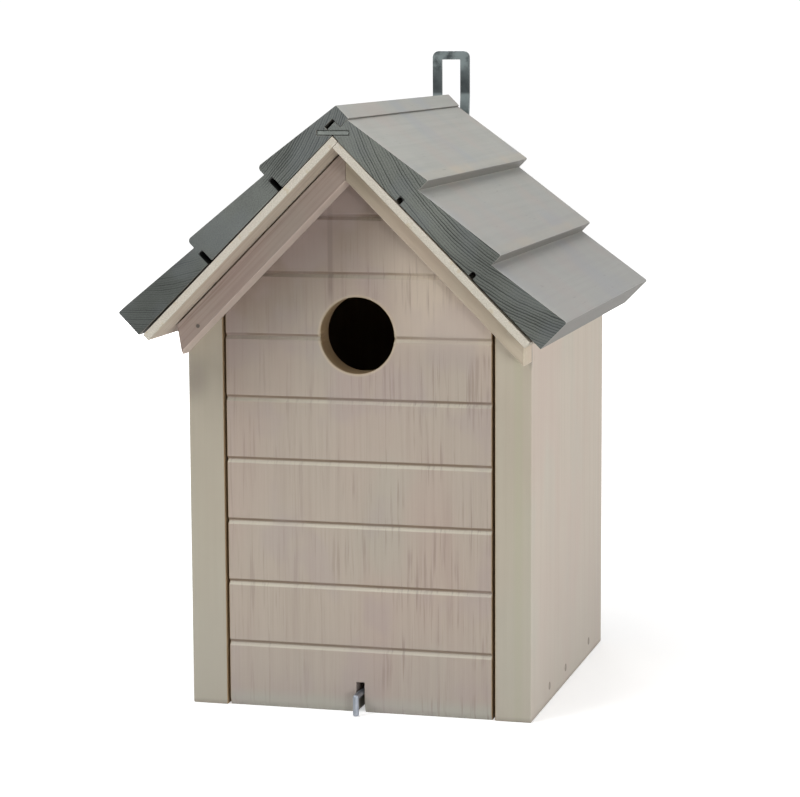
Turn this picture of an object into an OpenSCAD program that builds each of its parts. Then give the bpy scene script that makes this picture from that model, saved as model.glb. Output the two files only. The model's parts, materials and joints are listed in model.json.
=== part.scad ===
// Wooden nest box with a stepped board roof, a swing-out front and a turning hook latch.
// Origin: centre of the base on the level it stands on. +Z up, front towards -Y, millimetres.

/* [Body] */
// Overall width across the side walls
body_w = 148; // [130:1:170]
// Overall depth, front of the side walls to the back
body_d = 155; // [140:1:170]
// Side wall thickness
side_t = 15.5; // [12:0.5:18]
// Back wall thickness
back_t = 15; // [10:0.5:18]
// Floor thickness
floor_t = 14; // [10:0.5:18]
// Height of the line where the two roof decks would meet underneath
apex_z = 239; // [230:0.1:245]

/* [Front door] */
// Door thickness
door_t = 12.5; // [11:0.5:16]
// Gap between the door and each side wall
door_gap = 1.2; // [0.8:0.1:2]
// Gap between the door's sloping top edges and the roof deck
door_top_gap = 2.2; // [1.5:0.1:3]
// Height of the pivot nails
pivot_z = 152; // [148:0.5:153]
// Entrance hole diameter
hole_d = 32; // [26:1:34]
// Height of the entrance hole's centre
hole_z = 160; // [150:1:165]
// Height of the lowest groove
groove_z = 27.4; // [24:0.1:32]
// Distance between the board grooves
groove_pitch = 26.3; // [20:0.1:27]
// Height of the top groove, set a little closer than the rest
top_groove_z = 209.2; // [204:0.1:215]
// Groove width at the face
groove_w = 2.8; // [2:0.1:4]
// Groove depth
groove_deep = 1.3; // [0.8:0.1:2]
// Bevel along the door's bottom edge
foot_bevel = 3; // [1:0.5:4]

/* [Latch] */
// Sideways place of the notch and the hook
notch_x = 0.4; // [-3:0.1:3]
// Width of the notch in the door's bottom edge
notch_w = 3.6; // [3.4:0.1:5]
// Height of the notch
notch_h = 13; // [11:0.5:16]
// Hook wire diameter
hook_d = 2.6; // [2:0.1:3]
// Height of the hook's shank
hook_z = 8.3; // [8:0.1:9]
// Hook arm length from the shank's centre line
hook_arm = 7.9; // [6:0.1:7.9]
// Distance from the door to the centre of the arm
hook_out = 7; // [6:0.5:10]

/* [Roof] */
// Sideways place of the roof on the walls
roof_x = 0.3; // [-3:0.1:3]
// Deck thickness
deck_t = 3.3; // [3:0.1:5]
// Open line between the deck and the boards at the ridge
deck_gap = 0.2; // [0.2:0.1:0.6]
// Roof overhang in front of the walls
over_front = 35; // [20:1:45]
// How far the roof runs past the back, under 0 where it stops short
over_back = -5; // [-8:0.1:3]
// Slope length of the left deck from the underside apex
left_deck_eave = 111.9; // [108:0.1:116]
// Slope length of the right deck from the underside apex
right_deck_eave = 110.7; // [108:0.1:116]
// Radius of the outer edge at the eaves
eave_r = 0.8; // [0.4:0.1:1.5]

/* [Left roof board] */
// Slope position of the upper lip
left_lip_1 = 28; // [25:0.1:32]
// Slope position of the lower lip
left_lip_2 = 70.4; // [67:0.1:74]
// Slope position of the eave edge
left_eave = 113.1; // [110:0.1:117]
// Board thickness where each step starts
left_t_top = 8.7; // [8:0.1:10]
// Board thickness at each lip
left_t_lip = 12.7; // [11.5:0.1:14.5]
// Radius of the lip edges
left_lip_r = 1.8; // [0.4:0.1:2.5]
// How far the board lifts off the deck towards the eave, in degrees
left_lift = 0.45; // [0:0.05:1]
// Width of the relief kerfs in the board's back
left_kerf_w = 2.2; // [1:0.1:2.5]
// Depth of the relief kerfs
left_kerf_h = 5.5; // [2.5:0.1:6.5]
// Distance of each kerf's middle in from its lip
left_kerf_in = 0.8; // [0.4:0.05:3]

/* [Right roof board] */
// Slope position of the upper lip
right_lip_1 = 36.7; // [33:0.1:40]
// Slope position of the lower lip
right_lip_2 = 78.2; // [75:0.1:82]
// Slope position of the eave edge
right_eave = 115.4; // [112:0.1:119]
// Board thickness where each step starts
right_t_top = 9.5; // [8:0.1:10]
// Board thickness at the ridge
right_t_ridge = 8.9; // [8:0.1:10]
// Board thickness at each lip
right_t_lip = 14.9; // [12:0.1:16]
// Radius of the lip edges
right_lip_r = 0.6; // [0.4:0.1:2.5]
// How far the board lifts off the deck towards the eave, in degrees
right_lift = 0.5; // [0:0.05:1.2]
// Width of the relief kerfs in the board's back
right_kerf_w = 2.2; // [1:0.1:2.5]
// Depth of the relief kerfs
right_kerf_h = 2.5; // [2.5:0.1:6.5]
// Distance of each kerf's middle in from its lip
right_kerf_in = 2.55; // [0.4:0.05:3]

/* [Ridge joint] */
// How far the left board runs on past the apex to cover the right one
ridge_u = 13.1; // [12:0.1:14.5]
// Height of the left board's top face at the ridge, over the deck's underside
ridge_w = 10.7; // [9.5:0.1:12]
// Length of the right board's tongue
tongue_l = 3; // [2:0.1:4]
// Thickness of the right board's tongue
tongue_t = 4.4; // [3.5:0.1:5.5]
// Width of the trench in the left board
trench_w = 4.6; // [4.2:0.1:5.5]
// Gap round the tongue
tongue_gap = 0.2; // [0.1:0.05:0.4]

/* [Gable trims] */
// Trim width down the gable
trim_w = 9.2; // [7:0.1:11]
// Trim depth in front of the walls
trim_d = 15; // [10:0.5:18]

/* [Hanging bracket] */
// Strap width
strap_w = 17.5; // [14:0.5:22]
// Strap thickness
strap_t = 1.8; // [1.2:0.1:2.5]
// Height of the strap's top
strap_top = 275.6; // [270:0.1:290]
// Width of the hanging slot
hang_w = 8.9; // [7:0.1:10]
// Sideways place of the strap
strap_x = 0.4; // [-4:0.1:4]
// How far the strap's top stands off behind the back
strap_jog = 6; // [5:0.1:8]
// Metal left above the hanging slot
strap_leg = 3.9; // [3:0.1:5]
// Corner radius at the strap's top
strap_r = 3; // [1:0.5:4]

/* [Nails] */
// Diameter of the nails the door turns on
nail_d = 2.5; // [2:0.1:3]

/* [Hidden] */
$fn = 64;
front_y = -body_d / 2;
back_y = body_d / 2;
half_w = body_w / 2;
inner_w = half_w - side_t;
floor_gap = 1;
door_half = inner_w - door_gap;
door_peak = roof_z(0) - door_top_gap;
pivot_y = front_y + door_t / 2;
pivot_in = 14;
pin_clear = 0.05;
shank_in = 14;
roof_y0 = front_y - over_front;
roof_y1 = back_y + over_back;
board_w = deck_t + deck_gap;
lip_steps = 6;
tongue_ease = 0.6;
trim_gap = 0.8;
trim_top = roof_z(0) - trim_gap;
trim_foot = trim_top - trim_w * sqrt(2);
corner_in = 3;
corner_up = 11.1;
corner_turn = 18.4;
corner_lean = 9;
strap_low = 181;
bend_low = 208;
bend_top = 254;
hang_z = 243;
screw_z = [188, 200];
screw_d = 3.4;
screw_in = 12;
screw_head_d = 6.6;
screw_head_t = 1.8;
screw_dome = 1.4;
recess_w = 4.2;
recess_t = 0.9;
recess_deep = 1.1;
staple_x = 0.6;
staple_z = 244.9;
staple_w = 13;
staple_h = 1.5;
staple_t = 1.2;
staple_leg = 14;
staple_in = 0.3;
staple_ease = 0.4;
floor_nail_y = [37.1, 71.4, 124.2];
floor_nail_head = 3.4;
floor_nail_d = 1.8;
trim_nail_x = [-64.2, 67.9];
trim_nail_z = 164.2;
trim_nail_head = 2.2;
trim_nail_d = 1.4;
nail_head_t = 1;
nail_grip = 12;
nail_proud = 0.2;

// A profile drawn across the box, x to the right and y up, drawn out from y0 to y1.
module along(y0, y1) {
  translate([0, y1, 0])
    rotate([90, 0, 0])
      linear_extrude(height = y1 - y0)
        children();
}

// Places a profile of slope distance and height above the deck's underside. side is -1 left, 1 right.
module on_slope(side) {
  translate([roof_x, 0, apex_z])
    mirror([side < 0 ? 1 : 0, 0, 0])
      rotate([0, 45, 0])
        along(roof_y0, roof_y1)
          children();
}

// Height of the decks' underside over x.
function roof_z(x) = apex_z - abs(x - roof_x);

// A panel under the roof line between two x, with its top cut to the slopes.
module under_roof(x0, x1) {
  peak = x0 < roof_x && x1 > roof_x ? [[roof_x, apex_z]] : [];
  polygon(concat([[x0, 0], [x1, 0], [x1, roof_z(x1)]], peak, [[x0, roof_z(x0)]]));
}

module floor_board() {
  front = front_y + door_t + floor_gap;
  color([0.78, 0.74, 0.66])
    difference() {
      translate([-inner_w, front, 0])
        cube([2 * inner_w, back_y - back_t - front, floor_t]);
      // pilot hole the hook screws into
      translate([notch_x, front - 1, hook_z])
        rotate([-90, 0, 0])
          cylinder(h = shank_in + 2, d = hook_d + 2 * pin_clear);
    }
}

module side_wall(x0, x1) {
  color([0.77, 0.73, 0.66])
    along(front_y, back_y)
      under_roof(x0, x1);
}

module left_wall() {
  side_wall(-half_w, -inner_w);
}

module right_wall() {
  side_wall(inner_w, half_w);
}

module back_wall() {
  color([0.76, 0.72, 0.65])
    along(back_y - back_t, back_y)
      under_roof(-inner_w, inner_w);
}

// A V groove across the door's face at height z.
module groove(z) {
  translate([-door_half - 1, front_y, z])
    rotate([0, 90, 0])
      linear_extrude(height = 2 * door_half + 2)
        polygon([[-groove_w / 2, -1], [-groove_w / 2, 0], [0, groove_deep], [groove_w / 2, 0],
          [groove_w / 2, -1]]);
}

module front_door() {
  color([0.73, 0.68, 0.60])
    difference() {
      along(front_y, front_y + door_t)
        polygon([[-door_half, 0], [door_half, 0], [door_half, door_peak - door_half], [0, door_peak],
          [-door_half, door_peak - door_half]]);
      // entrance hole
      translate([0, front_y - 1, hole_z])
        rotate([-90, 0, 0])
          cylinder(h = door_t + 2, d = hole_d);
      for (i = [0 : 6])
        groove(groove_z + i * groove_pitch);
      groove(top_groove_z);
      // bevel along the bottom edge
      translate([-door_half - 1, front_y, 0])
        rotate([0, 90, 0])
          linear_extrude(height = 2 * door_half + 2)
            polygon([[1, -1], [-foot_bevel - 0.5, -1], [-foot_bevel, 0], [0, 1.2], [1, 1.2]]);
      // latch notch, open at the bottom
      translate([notch_x - notch_w / 2, front_y - 1, -1])
        cube([notch_w, door_t + 2, notch_h + 1]);
      // pivot bores
      for (side = [-1, 1])
        translate([side * door_half, pivot_y, pivot_z])
          rotate([0, -side * 90, 0])
            translate([0, 0, -1])
              cylinder(h = pivot_in + 3, d = nail_d + 2 * pin_clear);
    }
}

// The left deck runs on over the upper edge of the right one.
module left_deck() {
  color([0.80, 0.77, 0.70])
    on_slope(-1)
      translate([-deck_t, 0])
        square([left_deck_eave + deck_t, deck_t]);
}

module right_deck() {
  color([0.80, 0.77, 0.70])
    on_slope(1)
      square([right_deck_eave, deck_t]);
}

function lip_arc(u, w, r) = [
  for (a = [0 : 90 / lip_steps : 90]) [u - r + r * sin(a), w - r + r * cos(a)]
];

// Stepped face of a roof board from its upper lip down to the eave, over its own flat back.
function steps(lip_1, lip_2, eave, t_top, t_lip, lip_r) = concat(
  lip_arc(lip_1, t_lip, lip_r),
  [[lip_1, t_top]],
  lip_arc(lip_2, t_lip, lip_r),
  [[lip_2, t_top]],
  lip_arc(eave, t_lip, eave_r),
  [[eave, 0]]
);

// Relief kerf sawn into the back of a lifted board, with a round end.
module kerf(u, w, h, lift) {
  translate([0, board_w])
    rotate(lift)
      translate([u, 0]) {
        translate([-w / 2, -1])
          square([w, h - w / 2 + 1]);
        translate([0, h - w / 2])
          circle(d = w);
      }
}

// Moves points from the board's own back to the deck, lifted a little towards the eave.
function lifted(points, lift) = [
  for (p = points) [p[0] * cos(lift) - p[1] * sin(lift), board_w + p[0] * sin(lift) + p[1] * cos(lift)]
];

// One machined board: three steps on its face, kerfs in its back. It runs on over the ridge
// and a trench in its back takes the right board's tongue.
module left_roof_board() {
  trench_u = -board_w - tongue_t - 2 * tongue_gap;
  back = [[0, board_w], [-board_w, board_w], [-board_w, board_w + trench_w], [trench_u, board_w + trench_w],
    [trench_u, board_w], [-ridge_u, board_w], [-ridge_u, ridge_w]];
  face = steps(left_lip_1, left_lip_2, left_eave, left_t_top, left_t_lip, left_lip_r);
  color([0.50, 0.53, 0.50])
    difference() {
      on_slope(-1)
        difference() {
          polygon(concat(back, lifted(face, left_lift)));
          kerf(left_lip_1 - left_kerf_in, left_kerf_w, left_kerf_h, left_lift);
          kerf(left_lip_2 - left_kerf_in, left_kerf_w, left_kerf_h, left_lift);
        }
      staple_recess();
    }
}

// The same board for the right, with a tongue on its upper edge.
module right_roof_board() {
  shoulder_u = -board_w + tongue_gap;
  tip_u = -board_w - tongue_l;
  tongue_w = board_w + tongue_gap;
  back = [[0, board_w], [0, tongue_w], [tip_u + tongue_ease, tongue_w], [tip_u, tongue_w + tongue_ease],
    [tip_u, tongue_w + tongue_t], [shoulder_u, tongue_w + tongue_t]];
  face = concat([[shoulder_u, right_t_ridge]],
    steps(right_lip_1, right_lip_2, right_eave, right_t_top, right_t_lip, right_lip_r));
  color([0.63, 0.65, 0.61])
    difference() {
      on_slope(1)
        difference() {
          polygon(concat(back, lifted(face, right_lift)));
          kerf(right_lip_1 - right_kerf_in, right_kerf_w, right_kerf_h, right_lift);
          kerf(right_lip_2 - right_kerf_in, right_kerf_w, right_kerf_h, right_lift);
        }
      staple_recess();
    }
}

// Batten along the gable, plumb-cut at the wall and mitred at the middle.
module trim(side) {
  edge = side * half_w;
  along(front_y - trim_d, front_y)
    polygon([[0, trim_foot], [edge, trim_foot - half_w], [edge, trim_top - half_w], [0, trim_top]]);
}

module left_trim() {
  color([0.72, 0.66, 0.58])
    difference() {
      trim(-1);
      // the lower front corner is knocked off, more towards the bottom
      translate([-half_w, front_y - trim_d + corner_in, trim_foot - half_w + corner_up])
        rotate([0, -corner_lean, corner_turn])
          translate([-20, -20, -30])
            cube([20, 40, 60]);
    }
}

module right_trim() {
  color([0.72, 0.66, 0.58])
    trim(1);
}

// Flat strap seen from the side: on the back wall, then cranked out to pass behind the roof.
module strap_side() {
  polygon([
    [back_y, strap_low],
    [back_y + strap_t, strap_low],
    [back_y + strap_t, bend_low],
    [back_y + strap_jog + strap_t, bend_top],
    [back_y + strap_jog + strap_t, strap_top],
    [back_y + strap_jog, strap_top],
    [back_y + strap_jog, bend_top],
    [back_y, bend_low]
  ]);
}

// Strap outline from the front, with rounded corners and the hanging slot.
module strap_face() {
  difference() {
    union() {
      translate([-strap_w / 2, strap_low])
        square([strap_w, strap_top - strap_low - strap_r]);
      translate([-strap_w / 2 + strap_r, strap_low])
        square([strap_w - 2 * strap_r, strap_top - strap_low]);
      for (side = [-1, 1])
        translate([side * (strap_w / 2 - strap_r), strap_top - strap_r])
          circle(r = strap_r);
    }
    translate([-hang_w / 2, hang_z])
      square([hang_w, strap_top - strap_leg - hang_z]);
    for (z = screw_z)
      translate([0, z])
        circle(d = screw_d + 0.2);
  }
}

module hanging_bracket() {
  color([0.35, 0.37, 0.37])
    intersection() {
      translate([strap_x - strap_w, 0, 0])
        rotate([90, 0, 90])
          linear_extrude(height = 2 * strap_w)
            strap_side();
      translate([strap_x, 0, 0])
        along(back_y - 1, back_y + strap_jog + strap_t + 1)
          strap_face();
    }
}

// Two cross-recess screws with low domed heads.
module bracket_screws() {
  color([0.55, 0.55, 0.55])
    for (z = screw_z)
      translate([strap_x, back_y, z])
        rotate([-90, 0, 0]) {
          translate([0, 0, -screw_in])
            cylinder(h = screw_in + strap_t, d = screw_d);
          translate([0, 0, strap_t])
            difference() {
              cylinder(h = screw_head_t, d1 = screw_head_d, d2 = screw_head_d - screw_dome);
              for (turn = [20, 110])
                rotate(turn)
                  translate([-recess_w / 2, -recess_t / 2, screw_head_t - recess_deep])
                    cube([recess_w, recess_t, recess_deep + 1]);
            }
        }
}

// Wide staple across the ridge joint, its crown sunk into the end grain.
module ridge_staple() {
  color([0.45, 0.46, 0.44])
    translate([staple_x, roof_y0 + staple_in, staple_z - staple_h / 2]) {
      translate([-staple_w / 2, 0, 0])
        cube([staple_w, staple_t, staple_h]);
      for (side = [-1, 1])
        translate([side * (staple_w - staple_t) / 2 - staple_t / 2, 0, 0])
          cube([staple_t, staple_leg, staple_h]);
    }
}

// Wood crushed in round the staple's crown.
module staple_recess() {
  wide = staple_w + 2 * staple_ease;
  high = staple_h + 2 * staple_ease;
  translate([staple_x - wide / 2, roof_y0 - 1, staple_z - high / 2])
    cube([wide, 2, high]);
}

// Round nail standing on its head, which is a little proud of the wood at height 0.
module nail(length, head, shank) {
  translate([0, 0, -nail_proud]) {
    cylinder(h = nail_head_t, d = head);
    cylinder(h = length + nail_proud, d = shank);
  }
}

// Headless nail the door turns on, driven flush and limewashed over.
module pivot_nail(side) {
  color([0.75, 0.72, 0.66])
    translate([side * half_w, pivot_y, pivot_z])
      rotate([0, -side * 90, 0])
        cylinder(h = side_t + door_gap + pivot_in, d = nail_d);
}

module left_pivot_nail() {
  pivot_nail(-1);
}

module right_pivot_nail() {
  pivot_nail(1);
}

module floor_nails(side) {
  color([0.55, 0.52, 0.48])
    for (y = floor_nail_y)
      translate([side * half_w, front_y + y, floor_t / 2])
        rotate([0, -side * 90, 0])
          nail(side_t + nail_grip, floor_nail_head, floor_nail_d);
}

module left_floor_nails() {
  floor_nails(-1);
}

module right_floor_nails() {
  floor_nails(1);
}

module trim_nails() {
  color([0.40, 0.38, 0.36])
    for (x = trim_nail_x)
      translate([x, front_y - trim_d, trim_nail_z])
        rotate([-90, 0, 0])
          nail(trim_d + nail_grip, trim_nail_head, trim_nail_d);
}

module latch_hook() {
  color([0.60, 0.63, 0.66]) {
    // threaded shank into the floor, through the notch
    translate([notch_x, front_y - hook_out, hook_z])
      rotate([-90, 0, 0])
        cylinder(h = hook_out + door_t + floor_gap + shank_in, d = hook_d);
    // elbow and arm
    translate([notch_x, front_y - hook_out, hook_z])
      sphere(d = hook_d);
    translate([notch_x, front_y - hook_out, hook_z - hook_arm])
      cylinder(h = hook_arm, d = hook_d);
  }
}

floor_board();
left_wall();
right_wall();
back_wall();
front_door();
left_deck();
right_deck();
left_roof_board();
right_roof_board();
left_trim();
right_trim();
hanging_bracket();
bracket_screws();
ridge_staple();
left_pivot_nail();
right_pivot_nail();
left_floor_nails();
right_floor_nails();
trim_nails();
latch_hook();
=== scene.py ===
"""Wooden nest box: the finish of every board, nail and fitting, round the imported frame."""

import json
import math

import bmesh
import bpy
from mathutils import Matrix, Vector

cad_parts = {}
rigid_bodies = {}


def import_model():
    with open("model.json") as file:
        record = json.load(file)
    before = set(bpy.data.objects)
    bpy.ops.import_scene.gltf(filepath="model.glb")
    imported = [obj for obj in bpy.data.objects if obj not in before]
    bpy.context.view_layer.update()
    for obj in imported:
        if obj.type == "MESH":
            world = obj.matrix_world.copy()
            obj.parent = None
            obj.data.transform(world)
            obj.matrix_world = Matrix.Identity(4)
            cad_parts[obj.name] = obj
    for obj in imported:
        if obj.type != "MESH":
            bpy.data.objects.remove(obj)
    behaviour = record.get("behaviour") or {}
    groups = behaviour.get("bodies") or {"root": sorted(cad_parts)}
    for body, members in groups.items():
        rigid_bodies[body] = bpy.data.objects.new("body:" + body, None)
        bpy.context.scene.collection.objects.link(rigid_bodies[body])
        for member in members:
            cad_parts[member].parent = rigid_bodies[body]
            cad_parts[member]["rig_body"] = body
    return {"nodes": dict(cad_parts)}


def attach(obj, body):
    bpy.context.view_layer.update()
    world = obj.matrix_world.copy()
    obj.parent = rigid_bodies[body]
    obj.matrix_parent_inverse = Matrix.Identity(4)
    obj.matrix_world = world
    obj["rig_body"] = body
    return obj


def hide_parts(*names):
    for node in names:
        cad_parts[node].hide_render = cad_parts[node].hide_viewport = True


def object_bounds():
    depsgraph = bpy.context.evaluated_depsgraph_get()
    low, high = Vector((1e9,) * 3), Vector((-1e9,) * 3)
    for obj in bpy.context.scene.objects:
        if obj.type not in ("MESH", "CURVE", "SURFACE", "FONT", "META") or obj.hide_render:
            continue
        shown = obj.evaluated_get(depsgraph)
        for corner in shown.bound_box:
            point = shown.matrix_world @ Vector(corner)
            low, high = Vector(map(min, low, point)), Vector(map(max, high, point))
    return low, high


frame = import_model()
cad_low, cad_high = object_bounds()

# ---------------------------------------------------------------- side walls, back and floor
# Planed pine boards, glued and nailed at the corners. The outside is washed with a thin white
# lime paint that lets the grain show, and the inside is left raw.

SANDED = 0.0005
BORE_EDGE = 0.0006
FLAT = math.radians(0.5)
SHARP = math.radians(28)
RAW_LIGHT = (170, 148, 115)
RAW_DARK = (138, 112, 82)


def paint(red, green, blue):
    """A colour given the way a paint chart does, from 0 to 255, as the shader wants it."""
    chart = (c / 255 for c in (red, green, blue))
    return tuple(c / 12.92 if c <= 0.04045 else ((c + 0.055) / 1.055) ** 2.4 for c in chart) + (1.0,)


class Value:
    """One value inside a finish. Sums and products of values add their Math nodes."""

    def __init__(self, tree, socket):
        self.tree = tree
        self.socket = socket

    def node(self, kind, settings, inputs, out=0):
        """Any other node: its settings first, then what its sockets hold or are fed by."""
        made = self.tree.nodes.new(kind)
        for name, setting in settings.items():
            if name == "stops":
                ramp = made.color_ramp.elements
                while len(ramp) < len(setting):
                    ramp.new(1.0)
                for stop, (place, level) in zip(ramp, setting):
                    stop.position = place
                    stop.color = (level, level, level, 1.0)
            else:
                setattr(made, name, setting)
        for name, given in inputs.items():
            if isinstance(given, Value):
                self.tree.links.new(given.socket, made.inputs[name])
            else:
                made.inputs[name].default_value = given
        return Value(self.tree, made.outputs[out]) if out is not None else None

    def maths(self, operation, first, second=0.0, clamp=False):
        settings = {"operation": operation, "use_clamp": clamp}
        return self.node("ShaderNodeMath", settings, {0: first, 1: second})

    def __add__(self, other):
        return self.maths("ADD", self, other)

    def __sub__(self, other):
        return self.maths("SUBTRACT", self, other)

    def __rsub__(self, other):
        return self.maths("SUBTRACT", other, self)

    def __mul__(self, other):
        return self.maths("MULTIPLY", self, other)

    __radd__ = __add__
    __rmul__ = __mul__

    def __abs__(self):
        return self.maths("ABSOLUTE", self)

    def clamped(self):
        return self.maths("ADD", self, 0.0, clamp=True)

    def at_least(self, other):
        return self.maths("MAXIMUM", self, other)

    def ramp(self, *stops):
        return self.node("ShaderNodeValToRGB", {"stops": stops}, {"Fac": self})

    def between(self, low, high):
        """0 where this is under low, 1 where it is over high. The other way round if low > high."""
        rising = self.node(
            "ShaderNodeMapRange", {"interpolation_type": "SMOOTHSTEP"},
            {"Value": self, "From Min": min(low, high), "From Max": max(low, high)},
        )
        return rising if low < high else 1 - rising

    def close_to(self, centre, reach, fade):
        """1 within reach of centre, fading to 0 over fade."""
        return abs(self - centre).between(reach + fade, reach)

    def blend(self, first, second):
        """The first colour where this is 0 and the second where it is 1.

        A Mix node takes its colours at sockets 6 and 7 and gives one at output 2.
        """
        return self.node("ShaderNodeMix", {"data_type": "RGBA"}, {0: self, 6: first, 7: second}, 2)

    def split(self):
        """The three parts of a vector."""
        parts = self.node("ShaderNodeSeparateXYZ", {}, {"Vector": self})
        outputs = parts.socket.node.outputs
        return [Value(self.tree, outputs[axis]) for axis in range(3)]

    def length(self):
        return self.node("ShaderNodeVectorMath", {"operation": "LENGTH"}, {0: self}, 1)

    def placed(self, offset=(0, 0, 0), turn=(0, 0, 0), stretch=(1, 1, 1)):
        return self.node(
            "ShaderNodeMapping", {},
            {"Vector": self, "Location": offset, "Rotation": turn, "Scale": stretch},
        )

    def noise(self, size, detail=2.0, rough=0.5):
        """Soft noise whose blots are about as big as size, in metres."""
        return self.node(
            "ShaderNodeTexNoise", {},
            {"Vector": self, "Scale": 1 / size, "Detail": detail, "Roughness": rough},
        )


def new_finish(name):
    """An empty material, with the coordinates and the object's own normal to paint by."""
    material = bpy.data.materials.new(name)
    material.use_nodes = True
    tree = material.node_tree
    tree.nodes.clear()
    where = tree.nodes.new("ShaderNodeTexCoord")
    return material, Value(tree, where.outputs["Object"]), Value(tree, where.outputs["Normal"])


def close_finish(value, colour, roughness, bump=None, height=0.0001, metallic=0.0):
    """Ends a finish in its surface shader."""
    sockets = {"Base Color": colour, "Roughness": roughness, "Metallic": metallic}
    if bump is not None:
        sockets["Normal"] = value.node("ShaderNodeBump", {}, {"Height": bump, "Distance": height})
    surface = value.node("ShaderNodeBsdfPrincipled", {}, sockets)
    value.node("ShaderNodeOutputMaterial", {}, {"Surface": surface}, None)


def grain(where, pith, turn=(0, 0, 0), ring=0.0022, waver=0.004):
    """Growth rings, fibres and streaks of a board sawn beside the pith.

    The board's length runs along Z once turned. pith takes the heart of the tree to the origin.
    """
    board = where.placed(offset=pith, turn=turn)
    wander = board.placed(stretch=(1, 1, 0.12)).noise(0.03, 4.5)
    turns = (board.placed(stretch=(1, 1, 0.0)).length() + wander * waver) * (1 / ring)
    year = turns.maths("FLOOR", turns)
    late = year.node("ShaderNodeTexWhiteNoise", {"noise_dimensions": "1D"}, {"W": year}) * 0.75 + 0.25
    rings = turns.maths("FRACT", turns).ramp((0.0, 0.0), (0.55, 0.18), (0.86, 1.0), (0.97, 0.15)) * late
    fibres = board.placed(stretch=(1, 1, 0.02)).noise(0.0006, 2.0, 0.6)
    streaks = board.placed(stretch=(1, 1, 0.02)).noise(0.0025, 3.0, 0.6)
    return board, rings, fibres, streaks


def limewash(name, pith, light, dark, turn=(0, 0, 0), ring=0.0022, bold=1.0):
    """Pine under a thin lime paint: paler where the paint lies thick, darker in the late rings."""
    material, where, normal = new_finish(name)
    board, rings, fibres, streaks = grain(where, pith, turn, ring)
    thick = board.placed(stretch=(1, 1, 0.3)).noise(0.022, 3.0).between(0.3, 0.7)
    figure = (rings * 0.4 + streaks.between(0.4, 0.75) * 0.6) * (1 - thick * 0.6)
    shade = (figure * bold + fibres * 0.3).clamped()
    colour = shade.blend(paint(*light), paint(*dark))
    rosy = where.placed(stretch=(1, 1, 0.4)).noise(0.04, 2.0).between(0.4, 0.7)
    colour = (rosy * 0.4).blend(colour, paint(light[0] - 6, light[1] - 17, light[2] - 14))
    cool = where.placed(offset=(0.3, 0.1, 0.2), stretch=(1, 1, 0.5)).noise(0.03, 2.0).between(0.5, 0.7)
    colour = (cool * 0.35).blend(colour, paint(light[0] - 12, light[1] - 4, light[2] - 4))
    relief = fibres * 0.5 + rings * 0.3 * bold + thick * 0.2
    return material, where, normal, colour, fibres, relief


def left_raw(where, mask, colour):
    """Bare pine where the mask is 1, the given colour elsewhere."""
    tone = where.placed(stretch=(1, 1, 0.1)).noise(0.004, 3.0)
    return mask.blend(colour, tone.blend(paint(*RAW_LIGHT), paint(*RAW_DARK)))


def eased(node, piece, finish, width=SANDED, shortest=0.0):
    """A piece from the frame with its sharp edges eased. It takes the node's place.

    Edges under the shortest length stay sharp, which leaves the rims of the small bores as drilled.
    """
    shape = bmesh.new()
    shape.from_mesh(frame["nodes"][node].data)
    bmesh.ops.remove_doubles(shape, verts=shape.verts, dist=1e-6)
    bmesh.ops.dissolve_limit(shape, angle_limit=FLAT, verts=shape.verts, edges=shape.edges)
    worn = shape.edges.layers.float.new("bevel_weight_edge")
    for rim in shape.edges:
        sharp = len(rim.link_faces) == 2 and rim.calc_face_angle() > SHARP
        rim[worn] = 1.0 if sharp and rim.calc_length() > shortest else 0.0
        rim.smooth = not sharp or rim[worn] > 0
    mesh = bpy.data.meshes.new(piece)
    shape.to_mesh(mesh)
    shape.free()
    mesh.polygons.foreach_set("use_smooth", [True] * len(mesh.polygons))
    made = bpy.data.objects.new(piece, mesh)
    bpy.context.scene.collection.objects.link(made)
    edge = made.modifiers.new("eased edges", "BEVEL")
    edge.width = width
    edge.segments = 2
    edge.limit_method = "WEIGHT"
    made.modifiers.new("flat faces stay flat", "WEIGHTED_NORMAL").keep_sharp = True
    made.data.materials.append(finish)
    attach(made, frame["nodes"][node]["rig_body"])
    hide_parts(node)
    return made


FRONT_FACE = -0.0775
WALL_INSIDE = 0.0585
BACK_INSIDE = 0.0625
MOSSY_STRIP = 0.0685
wall_finish = {}

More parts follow.
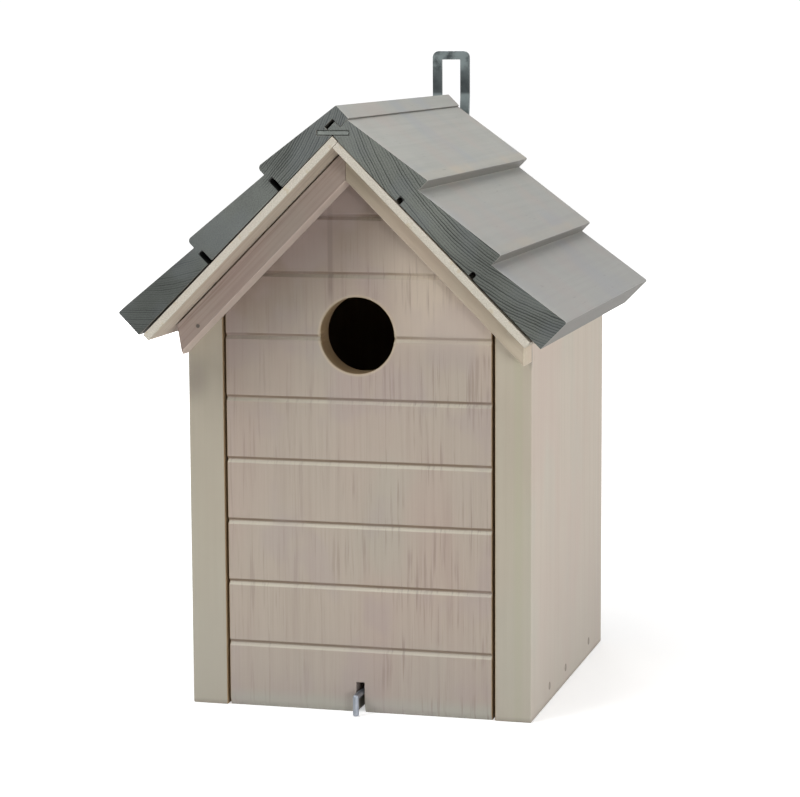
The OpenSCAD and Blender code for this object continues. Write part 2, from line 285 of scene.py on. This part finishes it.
for side, pith, light, dark in (
    ("left", (0.02, 0.23, 0.05), (190, 181, 167), (167, 155, 138)),
    ("right", (0.05, 0.21, 0.3), (193, 183, 170), (170, 157, 141)),
):
    finish, where, normal, colour, fibres, relief = limewash(
        "limewashed " + side + " wall", pith, light, dark, ring=0.003, bold=0.45
    )
    across, _, height = where.split()
    front_edge = normal.split()[1].between(-0.5, -0.8)
    if side == "left":
        colour = (front_edge * 0.55).blend(colour, paint(174, 170, 150))
        # Painted shade under the left eave: a soft dark spot at the top of the left post.
        painted_shade_spot = where.placed(offset=(0.0715, -FRONT_FACE, -0.0980), stretch=(1, 1, 0.7)).length()
        colour = (painted_shade_spot.between(0.0100, 0.0010) * 0.55).blend(colour, paint(132, 122, 112))
    else:
        mossy = across.close_to(MOSSY_STRIP, 0.0006, 0.0022) * 0.35 + 0.4
        colour = (mossy * front_edge).blend(colour, paint(180, 176, 152))
        # Painted shade under the right eave: a soft dark spot at the wall's front corner.
        painted_shade_spot = where.placed(offset=(-0.0742, -FRONT_FACE, -0.0536), stretch=(1, 1, 0.35)).length()
        colour = (painted_shade_spot.between(0.0024, 0.0008) * 0.55).blend(colour, paint(128, 122, 114))
    colour = (height.between(0.10, 0.0) * 0.35).blend(colour, paint(166, 162, 155))
    foot = height.between(0.0025, 0.0005) * 0.5
    colour = foot.blend(colour, paint(140, 132, 120))
    colour = left_raw(where, abs(across).between(WALL_INSIDE + 0.0005, WALL_INSIDE + 0.0002), colour)
    close_finish(where, colour, fibres * 0.15 + 0.62, relief, 0.00006)
    wall_finish[side] = finish
    eased(side + "_wall", side + "_wall_board", finish)

finish, where, _, colour, fibres, relief = limewash(
    "limewashed back", (0.03, 0.16, 0.1), (186, 177, 162), (160, 148, 130)
)
back = where.split()[1]
colour = left_raw(where, back.between(BACK_INSIDE + 0.0005, BACK_INSIDE + 0.0002), colour)
close_finish(where, colour, fibres * 0.15 + 0.62, relief, 0.00006)
eased("back_wall", "back_wall_board", finish)

finish, where, _, colour, fibres, relief = limewash(
    "bare floor", (0.0, 0.0, 0.03), RAW_LIGHT, RAW_DARK, (0, math.radians(90), 0)
)
close_finish(where, colour, fibres * 0.15 + 0.7, relief, 0.00008)
eased("floor_board", "floor_board_pine", finish, shortest=BORE_EDGE)

# ---------------------------------------------------------------- front
# One grooved pine board that swings on two nails. It is drilled for the entrance and notched
# at the foot for the hook. Its face is painted, and its back, sides and the hole are bare.

DOOR_SIDE = 0.0573
DOOR_BACK = -0.0650
HOLE_HEIGHT = 0.160
HOLE_RADIUS = 0.016
LOW_GROOVE = 0.0274
GROOVE_PITCH = 0.0263
TOP_GROOVE = 0.2092

finish, where, _, colour, fibres, relief = limewash(
    "limewashed front", (0.012, 0.26, 0.0), (184, 173, 159), (154, 137, 125), ring=0.0027, bold=0.5
)
across, back, height = where.split()
rows = (height - LOW_GROOVE) * (1 / GROOVE_PITCH)
from_row = (rows.maths("FRACT", rows + 0.5) - 0.5) * GROOVE_PITCH
on_a_row = height.between(0.200, 0.199) * height.between(0.010, 0.011)
from_top = height - TOP_GROOVE


def beside_grooves(up, reach):
    """A line along every groove, so far up from the groove's middle."""
    on_rows = from_row.close_to(up, reach, 0.0004) * on_a_row
    return on_rows.at_least(from_top.close_to(up, reach, 0.0004))


# Painted shade along the upper flank of every groove, and a painted highlight along its lower flank.
painted_groove_shade = beside_grooves(0.0007, 0.0003)
painted_groove_highlight = beside_grooves(-0.0008, 0.0004)
colour = (painted_groove_shade * 0.85).blend(colour, paint(122, 104, 84))
colour = (painted_groove_highlight * 0.8).blend(colour, paint(208, 203, 187))
# Painted shade of the overhanging gable, darkening the door towards its upper left and apex.
painted_eave_shade = (height - across * 0.7).between(0.174, 0.224)
colour = (painted_eave_shade * 0.85).blend(colour, paint(118, 100, 89))
colour = (height.between(0.050, 0.0) * 0.4).blend(colour, paint(160, 152, 147))
colour = (height.between(0.009, 0.003) * 0.6).blend(colour, paint(168, 170, 160))
# Painted light: a paler, warmer patch right of and above the entrance hole.
painted_light_patch = across.between(0.005, 0.03) * height.between(0.150, 0.165) * height.between(0.200, 0.188)
colour = (painted_light_patch * 0.6).blend(colour, paint(206, 192, 174))
thin = where.placed(stretch=(1, 0.2, 0.035)).noise(0.0014, 3.0, 0.6).between(0.5, 0.68)
patch = where.placed(offset=(0.4, 0, 0.2), stretch=(1, 1, 0.7)).noise(0.016, 2.0).between(0.38, 0.6)
bold_here = patch * (across.between(-0.02, 0.03) * 0.2 + 0.18) + 0.08
colour = (thin * bold_here).blend(colour, paint(128, 109, 100))
mauve = where.placed(offset=(0.7, 0, 0.6), stretch=(1, 1, 0.8)).noise(0.024, 2.0).between(0.5, 0.66)
colour = (mauve * 0.3).blend(colour, paint(166, 152, 151))
scar = across.close_to(-0.0113, 0.0006, 0.0009)
scar = scar * height.between(0.172, 0.180) * height.between(0.216, 0.210)
colour = (scar * 0.4).blend(colour, paint(118, 104, 98))
from_hole = where.placed(offset=(0, 0, -HOLE_HEIGHT), stretch=(1, 0, 1)).length()
bare = from_hole.between(HOLE_RADIUS + 0.0004, HOLE_RADIUS + 0.0001)
bare = bare.at_least(abs(across).between(DOOR_SIDE - 0.0004, DOOR_SIDE - 0.0001))
bare = bare.at_least(back.between(DOOR_BACK - 0.0006, DOOR_BACK - 0.0002))
colour = left_raw(where, bare, colour)
near_face = back.between(FRONT_FACE + 0.0020, FRONT_FACE + 0.0007)
pale_rim = from_hole.close_to(HOLE_RADIUS, 0.0008, 0.0004) * near_face
colour = (pale_rim * 0.5).blend(colour, paint(198, 184, 160))
close_finish(where, colour, fibres * 0.15 + 0.62, relief, 0.00006)
eased("front_door", "front_board", finish, 0.0003, BORE_EDGE)

# ---------------------------------------------------------------- roof decks
# Two thin boards on the gable, the left one lapped over the right. Their grain runs down the
# slope, their front edges were left rough from the saw, and inside the box they are bare.

RIDGE_X = 0.0003
DECK_APEX = 0.2390
SLOPE = math.sqrt(0.5)


def roof_place(across, height, out):
    """How far down the slope a place is, and how far off the decks' underside."""
    sideways = (across - RIDGE_X) * out
    return (sideways - height + DECK_APEX) * SLOPE, (sideways + height - DECK_APEX) * SLOPE


for side, turn in (("left", -45), ("right", 45)):
    finish, where, normal, colour, fibres, relief = limewash(
        "limewashed " + side + " deck", (0.11, 0.03, 0.2), (196, 186, 170), (158, 140, 124),
        (0, math.radians(turn), 0), bold=1.1,
    )
    back = where.split()[1]
    edge_on = abs(normal.split()[1]).between(0.6, 0.85)
    torn = where.noise(0.0005, 2.0, 0.6)
    sawn = torn.between(0.3, 0.75).blend(paint(214, 208, 195), paint(186, 179, 164))
    resin = where.placed(offset=(0.1, 0, 0.1)).noise(0.003, 1.0).between(0.62, 0.72)
    sawn = (resin * 0.4).blend(sawn, paint(186, 168, 128))
    colour = (edge_on * 0.9).blend(colour, sawn)
    indoors = back.between(DOOR_BACK - 0.0005, DOOR_BACK) * back.between(BACK_INSIDE + 0.0005, BACK_INSIDE)
    colour = left_raw(where, indoors, colour)
    close_finish(where, colour, fibres * 0.15 + 0.62, relief + edge_on * torn * 2.0, 0.00008)
    eased(side + "_deck", side + "_deck_board", finish, 0.0003)

# ---------------------------------------------------------------- gable trims
# Square battens nailed along the gable over the top of the front, mitred at the middle.

for side, out, light, dark in (
    ("left", -1, (177, 162, 152), (140, 121, 111)),
    ("right", 1, (194, 183, 163), (164, 148, 128)),
):
    turn = (0, math.radians(45 * out), 0)
    finish, where, normal, colour, fibres, relief = limewash(
        "limewashed " + side + " trim", (0.05, 0.06, 0.1), light, dark, turn, bold=0.7
    )
    across, _, height = where.split()
    off = roof_place(across, height, out)[1]
    thin = where.placed(turn=turn).placed(stretch=(1, 0.3, 0.02)).noise(0.0008, 2.0).between(0.54, 0.68)
    colour = (thin * off.between(-0.0055, -0.0015) * 0.45).blend(colour, paint(120, 98, 84))
    # Painted light: the faces of the batten that look down are made much paler.
    foot = normal.split()[2].between(-0.3, -0.6)
    colour = (foot * 0.75).blend(colour, paint(214, 199, 188))
    close_finish(where, colour, fibres * 0.15 + 0.62, relief, 0.00006)
    eased(side + "_trim", side + "_trim_batten", finish, 0.0004)

# ---------------------------------------------------------------- roof boards
# Each side of the roof is one thick pine board, machined in three steps and stained grey green.
# The sawn ends drank the stain and are much darker, with the growth rings standing out.

FRONT_END = cad_low[1]
BOARD_BACK = 0.0035
KERF_HALF = 0.0011

for side, out, pith, ring, end_light, lower_end_darkening, kerfs, kerf_deep in (
    ("left", -1, (0.085, 0.0, -0.285), 0.0009, (111, 115, 110), 0.65, (0.0272, 0.0696), 0.0055),
    ("right", 1, (-0.13, 0.0, -0.290), 0.0011, (122, 126, 119), 0.35, (0.0342, 0.0757), 0.0025),
):
    finish, where, normal = new_finish(side + " roof stain")
    along_ridge = (math.radians(90), 0, 0)
    _, rings, fibres, streaks = grain(where.placed(offset=pith), (0, 0, 0), along_ridge, ring)
    across, back, height = where.split()
    facing = normal.split()
    sawn = abs(facing[1]).between(0.6, 0.9)
    under = facing[2].between(0.1, -0.3)
    down, off = roof_place(across, height, out)

    # weathered faces, and painted shade on the faces that look down
    blots = where.noise(0.02, 3.0).between(0.35, 0.7)
    warm = where.placed(offset=(0.2, 0.4, 0.1)).noise(0.035, 2.0).between(0.45, 0.65)
    blue = where.placed(offset=(0.6, 0.1, 0.3)).noise(0.045, 2.0).between(0.5, 0.68)
    scratch = where.placed(stretch=(1, 0.06, 1)).noise(0.0008, 2.0).between(0.66, 0.74)
    worn_here = where.placed(offset=(0.1, 0.2, 0.7)).noise(0.012, 1.0).between(0.5, 0.62)
    flat_shade = (streaks.between(0.35, 0.8) * 0.22 + rings * 0.08 + fibres * 0.2 + blots * 0.12).clamped()
    flat = flat_shade.blend(paint(163, 163, 157), paint(134, 134, 129))
    flat = (warm * 0.5).blend(flat, paint(164, 154, 147))
    flat = (blue * 0.45).blend(flat, paint(145, 150, 155))
    by_lip = down.close_to(kerfs[0], 0.0012, 0.0024) + down.close_to(kerfs[1], 0.0012, 0.0024)
    flat = (by_lip * (warm * 0.3 + 0.2)).blend(flat, paint(176, 166, 146))
    flat = (scratch * worn_here * 0.5).blend(flat, paint(112, 112, 104))
    flat = (down.between(0.03, 0.09) * 0.4).blend(flat, paint(136, 134, 134))
    # Painted shade: the lip risers and other faces that look down are darkened.
    flat = (under * 0.85).blend(flat, paint(92, 89, 83))
    rim = back.between(FRONT_END + 0.0014, FRONT_END + 0.0006)
    flat = (rim * 0.35).blend(flat, paint(190, 187, 178))

    # end grain
    pores = where.placed(stretch=(1, 0.2, 1)).noise(0.0005, 2.0)
    clear = where.placed(offset=(0.5, 0, 0.5)).noise(0.012, 1.0).between(0.35, 0.65)
    if side == "left":
        told = down.between(0.036, 0.022) * 1.6 + down.between(0.066, 0.080) * 0.9
    else:
        told = down.between(0.02, 0.08) * 0.9 + 0.8
    end_shade = rings * (clear * 0.5 + 1.0) * told + pores.between(0.4, 0.65) * 0.25 + blots * 0.15
    # The sawn ends get darker towards the eave.
    ends = (down.between(0.045, 0.09) * lower_end_darkening).blend(paint(*end_light), paint(56, 61, 57))
    ends = end_shade.clamped().blend(ends, paint(28, 32, 29))
    cold = where.placed(offset=(0.3, 0, 0.9)).noise(0.02, 1.0).between(0.5, 0.65)
    ends = (cold * 0.25).blend(ends, paint(102, 107, 111))
    colour = sawn.blend(flat, ends)

    # painted shade: the insides of the kerfs are made nearly black
    painted_kerf_shade = down.close_to(kerfs[0], KERF_HALF, 0.0002) + down.close_to(kerfs[1], KERF_HALF, 0.0002)
    kerf_end = BOARD_BACK + kerf_deep
    painted_kerf_shade = painted_kerf_shade * off.between(kerf_end + 0.0009, kerf_end + 0.0006)
    colour = painted_kerf_shade.blend(colour, paint(16, 17, 15))
    relief = fibres * 0.4 + rings * 0.3 + pores * sawn * 0.6
    close_finish(where, colour, sawn * 0.15 + 0.6, relief, 0.00008)
    eased(side + "_roof_board", side + "_roof", finish, 0.0004)

# ---------------------------------------------------------------- hanging strap and its screws
# Zinc-plated steel strap, cranked behind the ridge, slotted for a nail. Two screws hold it.

finish, where, _ = new_finish("zinc plate")
mottle = where.noise(0.005, 4.0, 0.6)
cloud = where.noise(0.02, 2.0).between(0.35, 0.65)
colour = (mottle * 0.7 + cloud * 0.4).clamped().blend(paint(44, 48, 49), paint(92, 99, 100))
height = where.split()[2]
# Painted reflection of the lamp overhead: the strap's top and its cranked part below the bend are
# lightened.
painted_sheen_top = height.between(0.2645, 0.2700) * mottle.between(0.3, 0.6)
painted_sheen_below_bend = height.between(0.2568, 0.2552) * (mottle * 0.8 + 0.5)
painted_strap_sheen = painted_sheen_top + painted_sheen_below_bend
colour = (painted_strap_sheen * 0.7).blend(colour, paint(132, 142, 142))
close_finish(where, colour, mottle * 0.3 + 0.3, mottle, 0.00003, 0.8)
for node in ("hanging_bracket", "bracket_screws"):
    eased(node, node + "_zinc", finish, 0.0002)

# ---------------------------------------------------------------- ridge staple
# Wide steel staple shot into the end grain across the ridge joint.

finish, where, _ = new_finish("dull staple wire")
mottle = where.noise(0.002, 3.0)
close_finish(where, mottle.blend(paint(98, 102, 98), paint(136, 141, 136)), 0.5, mottle, 0.00002, 0.5)
eased("ridge_staple", "ridge_staple_wire", finish, 0.0002)

# ---------------------------------------------------------------- nails
# Wire nails through the side walls and the trims. The pivot nails and the right trim's pin
# were painted over with the boards. The floor nails and the left pin stayed dark. The pivot nails'
# caps would share the plane of the wall's unbroken face, so they stand proud of it by a hair.

WALL_OUTSIDE = 0.0740
PROUD = 0.00006

for side in ("left", "right"):
    nail = eased(side + "_pivot_nail", side + "_pivot_nail_painted", wall_finish[side], 0.00005)
    for corner in nail.data.vertices:
        if abs(corner.co.x) > WALL_OUTSIDE - 0.0001:
            corner.co.x += math.copysign(PROUD, corner.co.x)

finish, where, _ = new_finish("dull nail head")
mottle = where.noise(0.0012, 3.0)
colour = mottle.blend(paint(112, 102, 92), paint(150, 140, 127))
close_finish(where, colour, 0.5, mottle, 0.00004, 0.3)
for node in ("left_floor_nails", "right_floor_nails"):
    eased(node, node + "_steel", finish, 0.0002)

PIN = (0.0642, 0, -0.1642)
finish, where, _ = new_finish("trim pins")
mottle = where.noise(0.001, 3.0)
from_pin = where.placed(offset=PIN, stretch=(1, 0, 1)).length()
washed = mottle.blend(paint(160, 143, 131), paint(178, 163, 150))
dark_pin = from_pin.between(0.0006, 0.0011).blend(paint(92, 84, 80), washed)
painted_pin = mottle.blend(paint(178, 167, 148), paint(194, 184, 166))
colour = where.split()[0].between(-0.01, 0.01).blend(dark_pin, painted_pin)
close_finish(where, colour, 0.6, mottle, 0.00004)
eased("trim_nails", "trim_pins", finish, 0.0001)

# ---------------------------------------------------------------- hook
# Square-bent screw hook of bright zinc-plated wire, screwed into the floor through the notch.

finish, where, _ = new_finish("bright zinc wire")
mottle = where.noise(0.002, 3.0)
close_finish(where, mottle.blend(paint(120, 126, 136), paint(160, 165, 173)), 0.4, mottle, 0.00002, 0.85)
eased("latch_hook", "hook_wire", finish, 0.0003)

# ---------------------------------------------------------------- floor, light and camera
# A white sweep under soft studio light.

finish, where, _ = new_finish("white floor")
rays = Value(finish.node_tree, finish.node_tree.nodes.new("ShaderNodeLightPath").outputs["Is Camera Ray"])
gloss = Value(finish.node_tree, rays.socket.node.outputs["Is Glossy Ray"])
from_box = where.placed(stretch=(1, 1, 0)).length()
level = (from_box.between(0.25, 1.1) * 0.5 + 0.5) * rays.at_least(gloss)
matt = where.node("ShaderNodeBsdfDiffuse", {}, {"Color": (0.8, 0.8, 0.8, 1)})
glow = where.node("ShaderNodeEmission", {}, {"Color": (1, 1, 1, 1), "Strength": level})
both = where.node("ShaderNodeAddShader", {}, {0: matt, 1: glow})
where.node("ShaderNodeOutputMaterial", {}, {"Surface": both}, None)
shape = bmesh.new()
bmesh.ops.create_grid(shape, x_segments=1, y_segments=1, size=6)
mesh = bpy.data.meshes.new("floor")
shape.to_mesh(mesh)
shape.free()
floor = bpy.data.objects.new("floor", mesh)
bpy.context.scene.collection.objects.link(floor)
floor.data.materials.append(finish)

world = bpy.data.worlds.new("studio")
bpy.context.scene.world = world
world.use_nodes = True
world.node_tree.nodes.clear()
rays = Value(world.node_tree, world.node_tree.nodes.new("ShaderNodeLightPath").outputs["Is Camera Ray"])
gloss = Value(world.node_tree, rays.socket.node.outputs["Is Glossy Ray"])
room = rays.node(
    "ShaderNodeBackground", {}, {"Color": (1, 1, 1, 1), "Strength": rays.at_least(gloss * 0.7) + 0.04}
)
rays.node("ShaderNodeOutputWorld", {}, {"Surface": room}, None)

BOX_MIDDLE = Vector((0, 0, 0.14))


def softbox(name, place, size, watts):
    """A square lamp that faces the middle of the box."""
    lamp = bpy.data.lights.new(name, "AREA")
    lamp.shape = "SQUARE"
    lamp.size = size
    lamp.energy = watts
    held = bpy.data.objects.new(name, lamp)
    bpy.context.scene.collection.objects.link(held)
    held.location = place
    held.rotation_euler = (BOX_MIDDLE - Vector(place)).to_track_quat("-Z", "Y").to_euler()


softbox("key", (-0.9, -1.1, 1.3), 0.9, 15.5)
softbox("top", (0, -0.3, 1.8), 1.2, 18.5)
softbox("right fill", (1.6, -0.1, 0.35), 0.6, 12.0)
softbox("low fill", (0.8, -1.2, 0.14), 0.3, 4.2)
softbox("rear fill", (-0.5, 1.5, 0.4), 0.6, 8.0)

EYE = Vector((0.3009, -1.1284, 0.2842))
YAW = math.radians(15.05)
PITCH = math.radians(7.84)
ROLL = math.radians(-0.29)
forward = Vector((-math.sin(YAW) * math.cos(PITCH), math.cos(YAW) * math.cos(PITCH), -math.sin(PITCH)))
right = Vector((math.cos(YAW), math.sin(YAW), 0))
up = right.cross(forward)
unrolled = Matrix((right, up, -forward)).transposed()
camera_data = bpy.data.cameras.new("camera")
camera_data.lens = 119.546
camera_data.sensor_width = 36
camera = bpy.data.objects.new("camera", camera_data)
bpy.context.scene.collection.objects.link(camera)
camera.matrix_world = Matrix.Translation(EYE) @ (unrolled @ Matrix.Rotation(ROLL, 3, "Z")).to_4x4()
bpy.context.scene.camera = camera
bpy.context.scene.view_settings.view_transform = "Standard"
